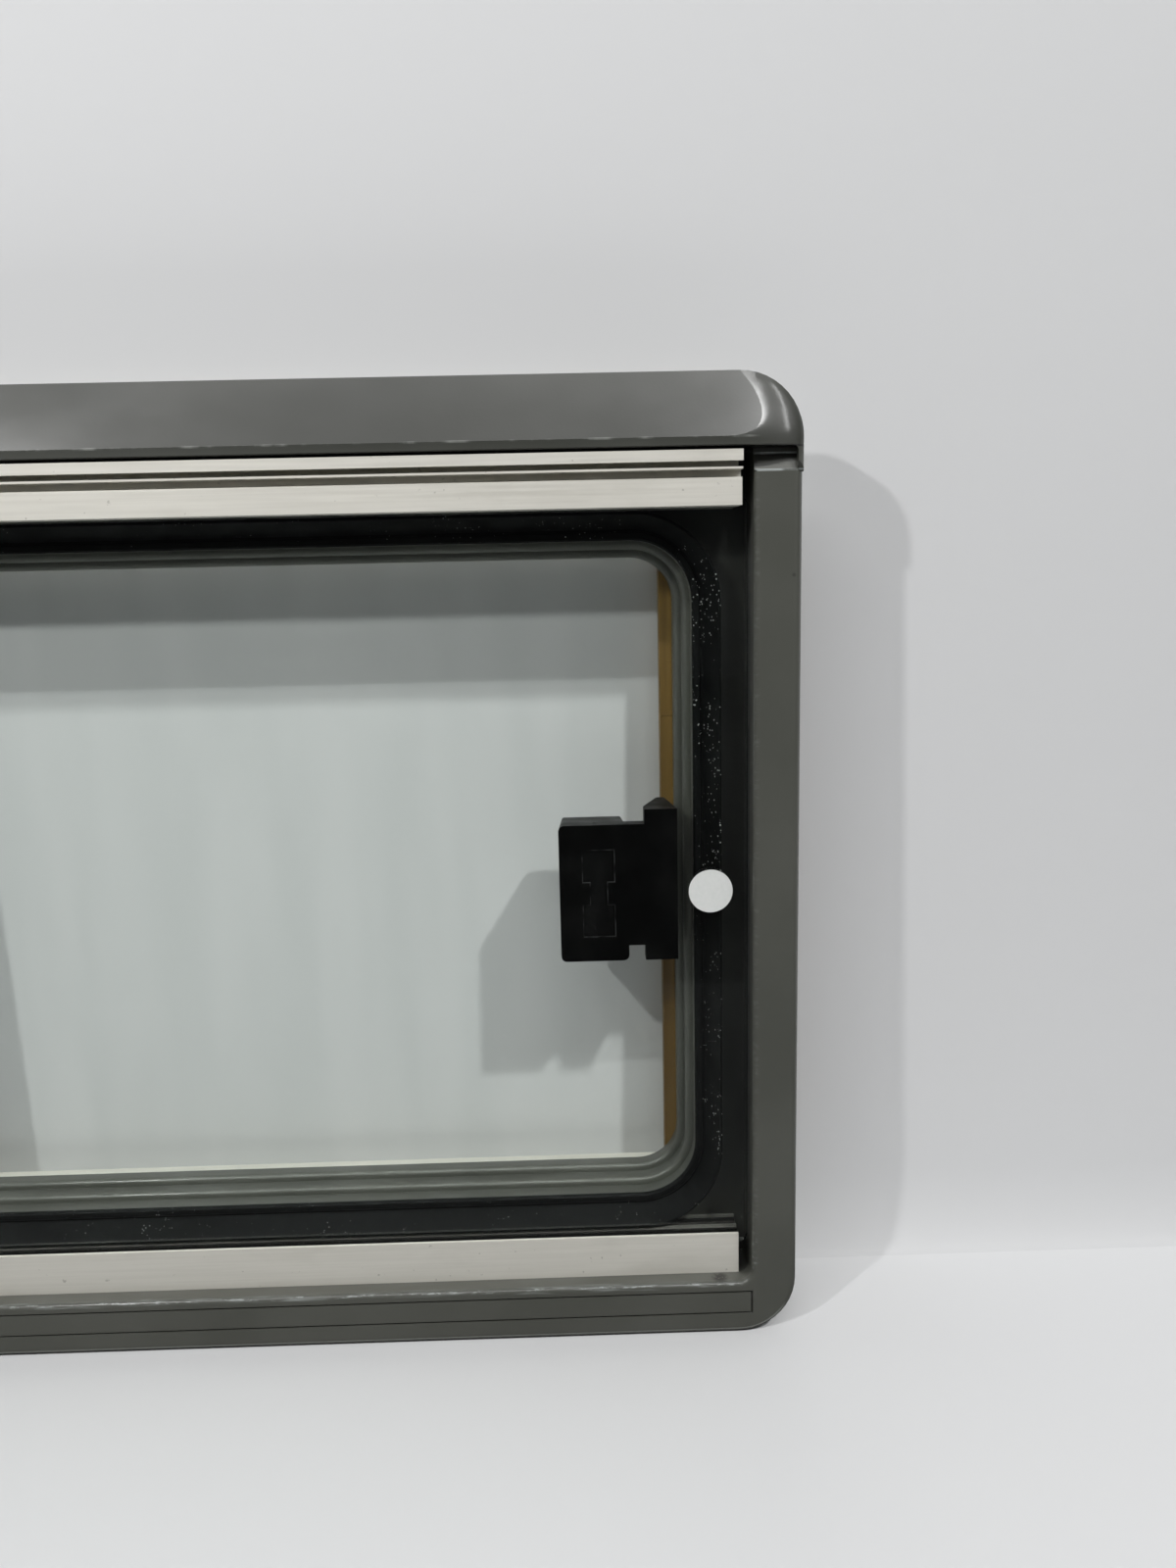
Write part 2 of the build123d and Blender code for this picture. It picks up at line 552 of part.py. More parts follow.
export_step(latch_grip.part, "parts/latch_grip.step")


# Latch catch: a wedge that narrows away from the glass
with BuildPart() as latch_catch:
    with BuildSketch(Plane.XY.offset(LATCH_LOW_Z)):
        with BuildLine():
            Polyline(
                (CATCH_IN_X, FRONT_GLASS_BACK_Y),
                (CATCH_OUT_X, FRONT_GLASS_BACK_Y),
                (CATCH_OUT_X - LATCH_CATCH_DRAFT, FRONT_GLASS_BACK_Y + LATCH_CATCH_D),
                (CATCH_OUT_X - LATCH_CATCH_DRAFT - LATCH_CATCH_TIP_W, FRONT_GLASS_BACK_Y + LATCH_CATCH_D),
                (CATCH_IN_X, FRONT_GLASS_BACK_Y + LATCH_NECK_D),
                close=True,
            )
        make_face()
    extrude(amount=LATCH_CATCH_H)
    fillet(latch_catch.edges().filter_by(Axis.Z).sort_by(Axis.Y)[-2:], LATCH_CATCH_R)
latch_catch.part.label = "latch_catch"
export_step(latch_catch.part, "parts/latch_catch.step")
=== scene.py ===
import math

import bmesh
import bpy
from mathutils import Matrix, Vector


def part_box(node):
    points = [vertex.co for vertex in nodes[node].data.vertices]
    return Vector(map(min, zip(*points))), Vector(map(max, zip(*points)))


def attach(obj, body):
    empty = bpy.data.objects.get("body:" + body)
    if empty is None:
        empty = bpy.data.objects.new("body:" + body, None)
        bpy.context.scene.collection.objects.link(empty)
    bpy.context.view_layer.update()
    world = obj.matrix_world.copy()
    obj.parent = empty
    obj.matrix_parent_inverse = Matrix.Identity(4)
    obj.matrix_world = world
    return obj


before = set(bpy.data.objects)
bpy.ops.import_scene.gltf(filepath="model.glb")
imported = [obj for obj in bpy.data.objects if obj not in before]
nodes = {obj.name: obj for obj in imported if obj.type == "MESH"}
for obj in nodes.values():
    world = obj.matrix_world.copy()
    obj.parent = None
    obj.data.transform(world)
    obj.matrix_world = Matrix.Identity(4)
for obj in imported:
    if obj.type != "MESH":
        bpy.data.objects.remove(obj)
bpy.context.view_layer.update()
scene = bpy.context.scene


# Stage: a pale floor, and a pale sheet that the window leans on by a hair, rising close behind it.
# Seen from behind, the sheet is clear, so that the window's back can be looked at too.
FLOOR_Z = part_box("outer_frame")[0].z
STAGE_HALF = 4.0
STAGE_ROUGHNESS = 0.85
SHEET_Y = 0.067
SHEET_LEAN = 0.0325
SHEET_LIFT = 0.0002
SHEET_HEIGHT = 2.2
SHEET_COLOUR = (0.70, 0.705, 0.71, 1)
SWEEP_DEPTH = 0.016
SWEEP_RISE = 0.045
SWEEP_STEPS = 16
FLOOR_COLOUR = (0.75, 0.755, 0.76, 1)
FLOOR_PAINTED_DARK = (0.02, 0.02, 0.02, 1)
FLOOR_LIT_END = -0.53
FLOOR_MIRROR_LOSS = 0.95


def new_material(name):
    """A node material, with its tree and its Principled shader."""
    material = bpy.data.materials.new(name)
    material.use_nodes = True
    return material, material.node_tree, material.node_tree.nodes["Principled BSDF"]


def feed(tree, socket, value):
    """Gives a socket a plain value, or links it to another socket."""
    if isinstance(value, bpy.types.NodeSocket):
        tree.links.new(value, socket)
    else:
        socket.default_value = value


def set_inputs(tree, node, inputs):
    """Gives a node's inputs their values or links, by name."""
    for name, value in inputs.items():
        feed(tree, node.inputs[name], value)


def calc(tree, operation, a, b=0.0, c=0.0, clamp=False):
    """The result of a maths node on sockets or numbers."""
    node = tree.nodes.new("ShaderNodeMath")
    node.operation = operation
    node.use_clamp = clamp
    for socket, value in zip(node.inputs, (a, b, c)):
        feed(tree, socket, value)
    return node.outputs[0]


def place_of(tree):
    """The point's own coordinates, and the same split into x, y and z."""
    point = tree.nodes.new("ShaderNodeTexCoord").outputs["Object"]
    split = tree.nodes.new("ShaderNodeSeparateXYZ")
    tree.links.new(point, split.inputs[0])
    return point, split.outputs


def show_mix(tree, share, first, second):
    """Shows a mix of two shaders, from all of the first to all of the second."""
    mix = tree.nodes.new("ShaderNodeMixShader")
    for socket, value in zip(mix.inputs, (share, first, second)):
        tree.links.new(value, socket)
    tree.links.new(mix.outputs[0], tree.nodes["Material Output"].inputs["Surface"])


def new_verts(made):
    """The vertices among what an operator made."""
    return [item for item in made if isinstance(item, bmesh.types.BMVert)]


def new_piece(name, shape, material):
    """An object at the origin from a finished bmesh."""
    mesh = bpy.data.meshes.new(name)
    shape.to_mesh(mesh)
    shape.free()
    mesh.materials.append(material)
    piece = bpy.data.objects.new(name, mesh)
    scene.collection.objects.link(piece)
    return piece


stage_paint, tree, shader = new_material("stage_paint")
set_inputs(tree, shader, {"Base Color": SHEET_COLOUR, "Roughness": STAGE_ROUGHNESS})
path = tree.nodes.new("ShaderNodeLightPath").outputs
behind = tree.nodes.new("ShaderNodeNewGeometry").outputs["Backfacing"]
clear = tree.nodes.new("ShaderNodeBsdfTransparent")
show_mix(tree, calc(tree, "MAXIMUM", behind, path["Is Shadow Ray"]), shader.outputs[0], clear.outputs[0])

# Painted reflection: the floor turns dark in mirror reflections, and beyond a line in front to bounced
# light, though the camera sees it pale.
floor_paint, tree, shader = new_material("floor_paint")
set_inputs(tree, shader, {"Base Color": FLOOR_COLOUR, "Roughness": STAGE_ROUGHNESS})
path = tree.nodes.new("ShaderNodeLightPath").outputs
beyond = calc(tree, "LESS_THAN", place_of(tree)[1]["Y"], FLOOR_LIT_END)
mirrored = calc(tree, "MULTIPLY", path["Is Glossy Ray"], FLOOR_MIRROR_LOSS)
faint = calc(tree, "MAXIMUM", beyond, mirrored)
unseen = calc(tree, "SUBTRACT", faint, path["Is Camera Ray"], clamp=True)
dark = tree.nodes.new("ShaderNodeBsdfDiffuse")
set_inputs(tree, dark, {"Color": FLOOR_PAINTED_DARK})
show_mix(tree, unseen, shader.outputs[0], dark.outputs[0])

floor_shape = bmesh.new()
bmesh.ops.create_grid(floor_shape, size=STAGE_HALF)
bmesh.ops.translate(floor_shape, verts=floor_shape.verts, vec=(0, 0, FLOOR_Z))
new_piece("floor", floor_shape, floor_paint)

sheet_shape = bmesh.new()
foot = sheet_shape.verts.new((-STAGE_HALF, -1, 0))
swept = bmesh.ops.spin(
    sheet_shape, geom=[foot], cent=(0, -1, 1), axis=(1, 0, 0), angle=math.pi / 2, steps=SWEEP_STEPS
)
bmesh.ops.scale(sheet_shape, verts=sheet_shape.verts, vec=(1, SWEEP_DEPTH, SWEEP_RISE))
bmesh.ops.translate(sheet_shape, verts=sheet_shape.verts, vec=(0, SHEET_Y, FLOOR_Z + SHEET_LIFT))
raised = bmesh.ops.extrude_vert_indiv(sheet_shape, verts=new_verts(swept["geom_last"]))["verts"]
bmesh.ops.translate(sheet_shape, verts=raised, vec=(0, -SHEET_LEAN * SHEET_HEIGHT, SHEET_HEIGHT))
across = bmesh.ops.extrude_edge_only(sheet_shape, edges=sheet_shape.edges[:])["geom"]
bmesh.ops.translate(sheet_shape, verts=new_verts(across), vec=(2 * STAGE_HALF, 0, 0))
for face in sheet_shape.faces:
    face.smooth = True
    if face.normal.y - face.normal.z > 0:
        face.normal_flip()
new_piece("sheet", sheet_shape, stage_paint)


# Light: a small low lamp on the left, a small high one on the right, a long strip above and a pale room.
# The hood's end mirrors a tall and a short lamp, and one behind the sheet lights the back.
ROOM_COLOUR = (0.95, 0.97, 1.0, 1)
ROOM_LIGHT = 0.05
ROOM_SEEN = 0.75
ROOM_MIRRORED = 0.3
LAMP_AIM = (0.30, 0, 0.25)
HOOD_END = (0.45, -0.02, 0.462)


def lamp(name, place, aim, width, height, power, lights=True, mirrored=True):
    """A soft flat lamp that faces a point, with its width level. It may only light, or only be mirrored."""
    light = bpy.data.lights.new(name, "AREA")
    light.shape = "RECTANGLE"
    light.size = width
    light.size_y = height
    light.energy = power
    holder = bpy.data.objects.new(name, light)
    holder.location = place
    holder.visible_diffuse = lights
    holder.visible_glossy = mirrored
    holder.rotation_euler = (Vector(aim) - Vector(place)).to_track_quat("-Z", "Y").to_euler()
    scene.collection.objects.link(holder)


world = bpy.data.worlds.new("room")
world.use_nodes = True
tree = world.node_tree
path = tree.nodes.new("ShaderNodeLightPath").outputs
seen = calc(tree, "MULTIPLY_ADD", path["Is Camera Ray"], ROOM_SEEN - ROOM_LIGHT, ROOM_LIGHT)
dimmed = calc(tree, "MULTIPLY_ADD", path["Is Glossy Ray"], ROOM_MIRRORED - 1, 1)
level = calc(tree, "MULTIPLY", seen, dimmed)
set_inputs(tree, tree.nodes["Background"], {"Color": ROOM_COLOUR, "Strength": level})
scene.world = world
lamp("lamp_left", (-0.317, -0.80, 0.956), LAMP_AIM, width=0.04, height=0.04, power=4.4)
lamp("lamp_right", (1.52, -1.50, 2.28), LAMP_AIM, width=0.10, height=0.10, power=36, mirrored=False)
lamp("lamp_strip", (0.20, -1.20, 1.763), (0.20, 0, 0.30), width=1.5, height=0.04, power=11.2)
lamp("lamp_tall", (1.98, -1.516, 1.905), LAMP_AIM, width=0.22, height=1.6, power=26, lights=False)
lamp("lamp_glint", (0.934, -1.659, 1.848), HOOD_END, width=0.04, height=0.28, power=9.5, lights=False)
lamp("lamp_back", (0.4, 2.2, 1.4), (0, 0, 0.25), width=1.2, height=1.2, power=8)
scene.view_settings.view_transform = "Standard"


# Camera: close in front of the right half, a little above the middle, tilted down by ten degrees.
# Its place and angles come from the vanishing points of the frame's own edges.
CAMERA_PLACE = (0.3566, -0.5808, 0.3886)
CAMERA_TURN = (79.93, 1.29, -1.20)
CAMERA_NEAR = 0.01
FOCAL_LENGTH = 27.05
SENSOR_WIDTH = 36

camera = bpy.data.objects.new("camera", bpy.data.cameras.new("camera"))
camera.location = CAMERA_PLACE
camera.rotation_euler = [math.radians(angle) for angle in CAMERA_TURN]
camera.data.lens = FOCAL_LENGTH
camera.data.sensor_width = SENSOR_WIDTH
camera.data.clip_start = CAMERA_NEAR
scene.collection.objects.link(camera)
scene.camera = camera


# Frame: one grey moulding of rigid foam with a tight satin skin, pressed in a polished tool.
# Its sill edge is scuffed pale by years of reaching in and dust lies on the ledges; painted highlights line
# its crease and jamb tops, and painted shade darkens the hood, the recess and the slot under the hood.
# Edges below are points of a section, as y and z, and corners are a distance to the side and z.
MOULDING_COLOURS = ((0.074, 0.076, 0.064, 1), (0.088, 0.090, 0.077, 1))
HOOD_SHADE_COLOUR = (0.036, 0.038, 0.031, 1)
HOOD_RISE = (0.438, 0.450)
HOOD_FRONT = (-0.004, -0.012)
SCUFF_AND_HIGHLIGHT_COLOUR = (0.42, 0.45, 0.44, 1)
SCUFF_SHARE = 0.66
SCUFF_ROUGHENS = 0.25
SCUFF_HEIGHTS = (0.025, 0.07)
STRANDS = ((-0.0012, 61), (-0.0004, 48), (0.0005, 83), (0.0013, 37))
STRAND_WANDER = 0.0008
WANDER_SCALE = 0.7
STRAND_FADE = (0.0003, 0.0007)
BRUSHED_FADE = (0.0008, 0.0030)
BRUSHED_SHARE = 0.6
RUBBED_EDGE_OUT = 0.0007
RUBBED_EDGE_Y = -0.0153
RECESS_CORNER = (0.4401, 0.0259)
RECESS_CORNER_R = 0.0070
PALE_COLOUR = (0.24, 0.25, 0.23, 1)
OUTLINE_CORNER = (0.4403, 0.0194)
OUTLINE_CORNER_R = 0.0300
BOTTOM_LINE_INSET = 0.0026
BOTTOM_LINE_FADE = (0.0003, 0.0009)
BOTTOM_LINE_TOP = (0.0, 0.008)
BOTTOM_LINE_FRONT = (-0.010, -0.012)
BOTTOM_LINE_SHARE = 0.8
CREASE = (-0.0240, 0.4497)
CREASE_HIGHLIGHT_FADE = (0.0003, 0.0008)
CREASE_HIGHLIGHT_SHARE = 0.6
JAMB_SIDE = (0.4471, 0.4481)
JAMB_TOP_EDGES = ((-0.0160, 0.43495), (-0.0125, 0.44275))
JAMB_HIGHLIGHT_FADE = (0.0003, 0.0007)
JAMB_BEVEL_FOOT = (0.43495, 0.43555)
JAMB_BEVEL_FRONT = (-0.0166, -0.0158)
PAINTED_SHADE_COLOUR = (0.010, 0.010, 0.0095, 1)
RECESS_SHADE_FRONT = (-0.006, -0.003)
RECESS_SHADE_BACK = (0.0158, 0.0162)
RECESS_SHADE_HEIGHTS = (0.13, 0.22)
RECESS_SHADE_SHARES = (0.97, 0.55)
MIDDLE_Z = 0.2347
CEILING_Z = 0.44555
CEILING_FADE = (0.0003, 0.0006)
CEILING_FRONT = (-0.0238, -0.0232)
CEILING_SHADE_SHARE = 0.9
DUST_COLOUR = (0.30, 0.32, 0.31, 1)
DUST_AMOUNT = 0.10
STAIN_COLOUR = (0.014, 0.013, 0.012, 1)
STAINS = (((0.4305, -0.0105, 0.0190), 0.0055), ((0.4660, -0.0150, 0.3864), 0.0016))
STAIN_CORE = 0.35
COAT_WEIGHT = 0.35
BEVEL_COAT_LOSS = 0.33
COAT_ROUGHNESS = 0.16
MOULDING_ROUGHNESS = (0.42, 0.50)
MOULDING_BUMP = 0.00003
ALONG = (1, 0, 0)


def ramp(tree, value, between, to=(0.0, 1.0)):
    """A smooth step from one result to another as a value runs between two."""
    node = tree.nodes.new("ShaderNodeMapRange")
    node.interpolation_type = "SMOOTHSTEP"
    set_inputs(tree, node, {"Value": value, "From Min": between[0], "From Max": between[1]})
    set_inputs(tree, node, {"To Min": to[0], "To Max": to[1]})
    return node.outputs["Result"]


def fading(tree, distance, between):
    """One close by, and nothing beyond a distance."""
    return ramp(tree, distance, between, to=(1.0, 0.0))


def noise(tree, point, scale, stretch=(1, 1, 1), detail=3.0):
    """Noise in the piece's own space, stretched along chosen axes."""
    mapping = tree.nodes.new("ShaderNodeMapping")
    set_inputs(tree, mapping, {"Vector": point, "Scale": stretch})
    texture = tree.nodes.new("ShaderNodeTexNoise")
    set_inputs(tree, texture, {"Vector": mapping.outputs[0], "Scale": scale, "Detail": detail})
    return texture.outputs["Fac"]


def patches(tree, point, scale, between=(0.3, 0.7), to=(0.0, 1.0), stretch=(1, 1, 1), detail=3.0):
    """Noise with its middle range spread from one result to another."""
    return ramp(tree, noise(tree, point, scale, stretch, detail), between, to)


def times(tree, first, *others):
    """Several masks or numbers multiplied together."""
    for other in others:
        first = calc(tree, "MULTIPLY", first, other)
    return first


def blend(tree, share, first, second):
    """A colour between two, each a socket or a plain colour."""
    node = tree.nodes.new("ShaderNodeMix")
    node.data_type = "RGBA"
    for socket, value in zip((node.inputs[0], node.inputs[6], node.inputs[7]), (share, first, second)):
        feed(tree, socket, value)
    return node.outputs[2]


def off(tree, value, place):
    """How far a value lies from a place, with no sign."""
    return calc(tree, "ABSOLUTE", calc(tree, "SUBTRACT", value, place))


def radius_of(tree, a, b):
    """How far two offsets taken together lie from nothing."""
    return calc(tree, "SQRT", calc(tree, "ADD", calc(tree, "MULTIPLY", a, a), calc(tree, "MULTIPLY", b, b)))


def edge_distance(tree, a, b, edge):
    """How far a point of a section lies from an edge, which is a point there."""
    return radius_of(tree, calc(tree, "SUBTRACT", a, edge[0]), calc(tree, "SUBTRACT", b, edge[1]))


def corner_reach(tree, side, z, corner):
    """How far a point lies outwards and downwards of a corner's centre, counting neither way inwards."""
    outwards = calc(tree, "MAXIMUM", calc(tree, "SUBTRACT", side, corner[0]), 0.0)
    downwards = calc(tree, "MAXIMUM", calc(tree, "SUBTRACT", corner[1], z), 0.0)
    return radius_of(tree, outwards, downwards)


def near(tree, point, spot, radius):
    """One at a spot, fading to nothing at a radius."""
    node = tree.nodes.new("ShaderNodeVectorMath")
    node.operation = "DISTANCE"
    feed(tree, node.inputs[0], point)
    feed(tree, node.inputs[1], spot)
    return fading(tree, node.outputs["Value"], (radius * STAIN_CORE, radius))


def bump(tree, shader, height, depth):
    """Raises a shader's surface by a height map, with the depth in metres."""
    node = tree.nodes.new("ShaderNodeBump")
    set_inputs(tree, node, {"Height": height, "Distance": depth})
    tree.links.new(node.outputs[0], shader.inputs["Normal"])


def dress(names, material):
    """Gives CAD nodes their finish."""
    for name in names:
        nodes[name].data.materials.clear()
        nodes[name].data.materials.append(material)


def settled_dust():
    """A node group with a mask of dust that lies on upward faces."""
    group = bpy.data.node_groups.new("settled_dust", "ShaderNodeTree")
    group.interface.new_socket("Amount", in_out="INPUT", socket_type="NodeSocketFloat")
    group.interface.new_socket("Mask", in_out="OUTPUT", socket_type="NodeSocketFloat")
    amount = group.nodes.new("NodeGroupInput").outputs["Amount"]
    point, _ = place_of(group)
    upward = group.nodes.new("ShaderNodeSeparateXYZ")
    group.links.new(point.node.outputs["Normal"], upward.inputs[0])
    level = ramp(group, upward.outputs["Z"], between=(0.3, 0.95))
    patchy = patches(group, point, scale=60, between=(0.35, 0.75), stretch=(0.4, 1, 1), detail=6)
    mask = calc(group, "MULTIPLY", times(group, level, patchy), amount, clamp=True)
    group.links.new(mask, group.nodes.new("NodeGroupOutput").inputs["Mask"])
    return group


def scuffs(tree, point, edge_off, face_off, z):
    """A mask of broken strands along the rubbed sill edge, with brushed marks round them."""
    worn = 0.0
    for strand_off, scale in STRANDS:
        sway = (-STRAND_WANDER, STRAND_WANDER)
        wander = patches(tree, point, scale=scale * WANDER_SCALE, to=sway, stretch=ALONG, detail=6)
        strand_place = calc(tree, "ADD", edge_off, calc(tree, "ADD", wander, strand_off))
        line = fading(tree, radius_of(tree, strand_place, face_off), STRAND_FADE)
        broken = patches(tree, point, scale=scale, between=(0.49, 0.56), stretch=ALONG, detail=6)
        worn = calc(tree, "MAXIMUM", worn, times(tree, line, broken))
    grain = patches(tree, point, scale=1500, between=(0.40, 0.56), stretch=(0.16, 1, 1), detail=4)
    streaks = patches(tree, point, scale=520, between=(0.50, 0.72), stretch=(0.07, 1, 1), detail=5)
    around = fading(tree, radius_of(tree, edge_off, face_off), BRUSHED_FADE)
    brushed = times(tree, around, streaks, BRUSHED_SHARE)
    marked = calc(tree, "MAXIMUM", times(tree, worn, grain), brushed)
    low_down = ramp(tree, z, SCUFF_HEIGHTS, to=(1.0, 0.25))
    return calc(tree, "MULTIPLY", marked, low_down, clamp=True)


moulding, tree, shader = new_material("grey_moulding")
point, (x, y, z) = place_of(tree)
side = calc(tree, "ABSOLUTE", x)

colour = blend(tree, patches(tree, point, scale=14, detail=5), *MOULDING_COLOURS)
# Painted shade: the hood's upward slope is coloured darker than the rest, to hold back the extra light it
# catches from above.
hood = times(tree, ramp(tree, z, HOOD_RISE), ramp(tree, y, HOOD_FRONT))
uneven = patches(tree, point, scale=9, between=(0.2, 0.6), to=(0.6, 1.0), detail=5)
colour = blend(tree, times(tree, hood, uneven), colour, HOOD_SHADE_COLOUR)

# Painted highlight: pale lines along the two edges of the jamb's top bevel, as if they caught the light.
# Their colour is shared with the real sill scuffs.
on_jamb = ramp(tree, side, JAMB_SIDE)
for edge in JAMB_TOP_EDGES:
    jamb_edge_highlight = times(tree, fading(tree, edge_distance(tree, y, z, edge), JAMB_HIGHLIGHT_FADE), on_jamb)
    uneven = patches(tree, point, scale=90, between=(0.35, 0.55), to=(0.15, 0.9), detail=5)
    colour = blend(tree, times(tree, jamb_edge_highlight, uneven), colour, SCUFF_AND_HIGHLIGHT_COLOUR)

# Painted shade: the web inside the recess behind the glass is darkened nearly to black, most at mid height.
in_recess = times(tree, ramp(tree, y, RECESS_SHADE_FRONT), fading(tree, y, RECESS_SHADE_BACK))
mid_height = ramp(tree, off(tree, z, MIDDLE_Z), RECESS_SHADE_HEIGHTS, to=RECESS_SHADE_SHARES)
uneven = patches(tree, point, scale=40, to=(0.85, 1.0), stretch=(1, 1, 0.4), detail=5)
colour = blend(tree, times(tree, in_recess, mid_height, uneven), colour, PAINTED_SHADE_COLOUR)
# Painted shade: the ceiling of the slot under the hood is darkened as if it lay in deep shadow.
under_hood_shade = times(tree, fading(tree, off(tree, z, CEILING_Z), CEILING_FADE), ramp(tree, y, CEILING_FRONT))
colour = blend(tree, times(tree, under_hood_shade, CEILING_SHADE_SHARE), colour, PAINTED_SHADE_COLOUR)

# A pale line runs along the outline on the front, just above the bottom edge.
inset = calc(tree, "SUBTRACT", OUTLINE_CORNER_R, corner_reach(tree, side, z, OUTLINE_CORNER))
pale_bottom_line = times(tree, fading(tree, off(tree, inset, BOTTOM_LINE_INSET), BOTTOM_LINE_FADE), fading(tree, z, BOTTOM_LINE_TOP))
colour = blend(tree, times(tree, pale_bottom_line, ramp(tree, y, BOTTOM_LINE_FRONT), BOTTOM_LINE_SHARE), colour, PALE_COLOUR)
# Painted highlight: a broken pale line along the hood's crease, where its rounding catches the light.
broken = patches(tree, point, scale=60, between=(0.48, 0.66), stretch=ALONG, detail=6)
crease_highlight = times(tree, fading(tree, edge_distance(tree, y, z, CREASE), CREASE_HIGHLIGHT_FADE), broken)
colour = blend(tree, times(tree, crease_highlight, CREASE_HIGHLIGHT_SHARE), colour, PALE_COLOUR)

recess_off = calc(tree, "SUBTRACT", corner_reach(tree, side, z, RECESS_CORNER), RECESS_CORNER_R)
edge_off = calc(tree, "SUBTRACT", recess_off, RUBBED_EDGE_OUT)
face_off = calc(tree, "SUBTRACT", y, RUBBED_EDGE_Y)
scuffed = scuffs(tree, point, edge_off, face_off, z)
colour = blend(tree, times(tree, scuffed, SCUFF_SHARE), colour, SCUFF_AND_HIGHLIGHT_COLOUR)
dust = tree.nodes.new("ShaderNodeGroup")
dust.node_tree = settled_dust()
dust.inputs["Amount"].default_value = DUST_AMOUNT
colour = blend(tree, dust.outputs["Mask"], colour, DUST_COLOUR)
for spot, radius in STAINS:
    blotted = patches(tree, point, scale=420, between=(0.34, 0.46), detail=4)
    colour = blend(tree, times(tree, near(tree, point, spot, radius), blotted), colour, STAIN_COLOUR)

satin = patches(tree, point, scale=35, to=MOULDING_ROUGHNESS, stretch=(0.5, 1, 1), detail=5)
on_bevel = times(tree, on_jamb, ramp(tree, z, JAMB_BEVEL_FOOT), ramp(tree, y, JAMB_BEVEL_FRONT))
set_inputs(tree, shader, {
    "Base Color": colour,
    "Roughness": calc(tree, "ADD", satin, times(tree, scuffed, SCUFF_ROUGHENS)),
    "Coat Weight": calc(tree, "MULTIPLY_ADD", on_bevel, -BEVEL_COAT_LOSS, COAT_WEIGHT),
    "Coat Roughness": COAT_ROUGHNESS,
})
bump(tree, shader, noise(tree, point, scale=900, detail=2), MOULDING_BUMP)
dress(["outer_frame"], moulding)


# Rails and cross strips: the rails that carry the panes, and the strips behind the reveal's top and bottom.
# Drawn from aluminium, brushed along their length, anodised and set into the frame.
# Handling left faint marks, and the tracks between the rails' legs are darkened by painted shade.
RAIL_COLOURS = ((0.76, 0.74, 0.67, 1), (0.80, 0.78, 0.71, 1))
RAIL_MARK_COLOUR = (0.46, 0.44, 0.38, 1)
RAIL_FLECK_COLOUR = (0.22, 0.21, 0.18, 1)
RAIL_METAL = 0.35
RAIL_ROUGHNESS = (0.42, 0.56)
MARKS_DULL = 0.5
RAIL_BUMP = 0.00001
TRACKS_Y = (-0.0040, 0.0200)
TRACK_SHADE_COLOUR = (0.03, 0.03, 0.028, 1)
TRACK_SHADE_SHARE = 0.72

rail_metal, tree, shader = new_material("bright_rail")
point, (x, y, z) = place_of(tree)
brushed = noise(tree, point, scale=900, stretch=(0.02, 1, 1), detail=4)
marks = noise(tree, point, scale=45, stretch=(0.35, 1, 1), detail=6)
colour = blend(tree, ramp(tree, brushed, between=(0.3, 0.7)), *RAIL_COLOURS)
colour = blend(tree, ramp(tree, marks, between=(0.48, 0.80), to=(0.0, 0.34)), colour, RAIL_MARK_COLOUR)
flecks = patches(tree, point, scale=260, between=(0.70, 0.76), to=(0.0, 0.4))
colour = blend(tree, flecks, colour, RAIL_FLECK_COLOUR)
# Painted shade: the tracks between the legs are darkened.
in_tracks = times(tree, calc(tree, "GREATER_THAN", y, TRACKS_Y[0]), calc(tree, "LESS_THAN", y, TRACKS_Y[1]))
colour = blend(tree, times(tree, in_tracks, TRACK_SHADE_SHARE), colour, TRACK_SHADE_COLOUR)
dulled = calc(tree, "ADD", brushed, times(tree, marks, MARKS_DULL))
set_inputs(tree, shader, {
    "Base Color": colour,
    "Metallic": RAIL_METAL,
    "Roughness": ramp(tree, dulled, between=(0.4, 1.1), to=RAIL_ROUGHNESS),
})
bump(tree, shader, brushed, RAIL_BUMP)
dress(["top_rail", "bottom_rail", "rear_strip_top", "rear_strip_bottom"], rail_metal)


# Track liners and meeting pile: channels that guide the panes in the tracks, and a strip where they meet.
# Short black pile on a stiff backing, cut to length and pressed in.
PILE_COLOURS = ((0.006, 0.006, 0.006, 1), (0.018, 0.018, 0.017, 1))
PILE_ROUGHNESS = 0.95
PILE_SPECULAR = 0.15
PILE_BUMP = 0.0003

pile, tree, shader = new_material("track_pile")
point, _ = place_of(tree)
fibres = noise(tree, point, scale=1600, stretch=(0.5, 1, 1), detail=2)
set_inputs(tree, shader, {
    "Base Color": blend(tree, fibres, *PILE_COLOURS),
    "Roughness": PILE_ROUGHNESS,
    "Specular IOR Level": PILE_SPECULAR,
})
bump(tree, shader, fibres, PILE_BUMP)
dress(["top_front_liner", "top_rear_liner", "bottom_front_liner", "bottom_rear_liner", "meeting_pile"], pile)


# Panes: toughened glass with a light grey-green tint, one sliding in the front track and one fixed behind.
# A cloth left faint streaks. The glass lets the lamps through, so that the sheet behind is lit.
GLASS_TINTS = ((0.90, 0.93, 0.91, 1), (0.95, 0.975, 0.955, 1))
GLASS_SHADE = (0.95, 0.965, 0.955, 1)
GLASS_IOR = 1.5

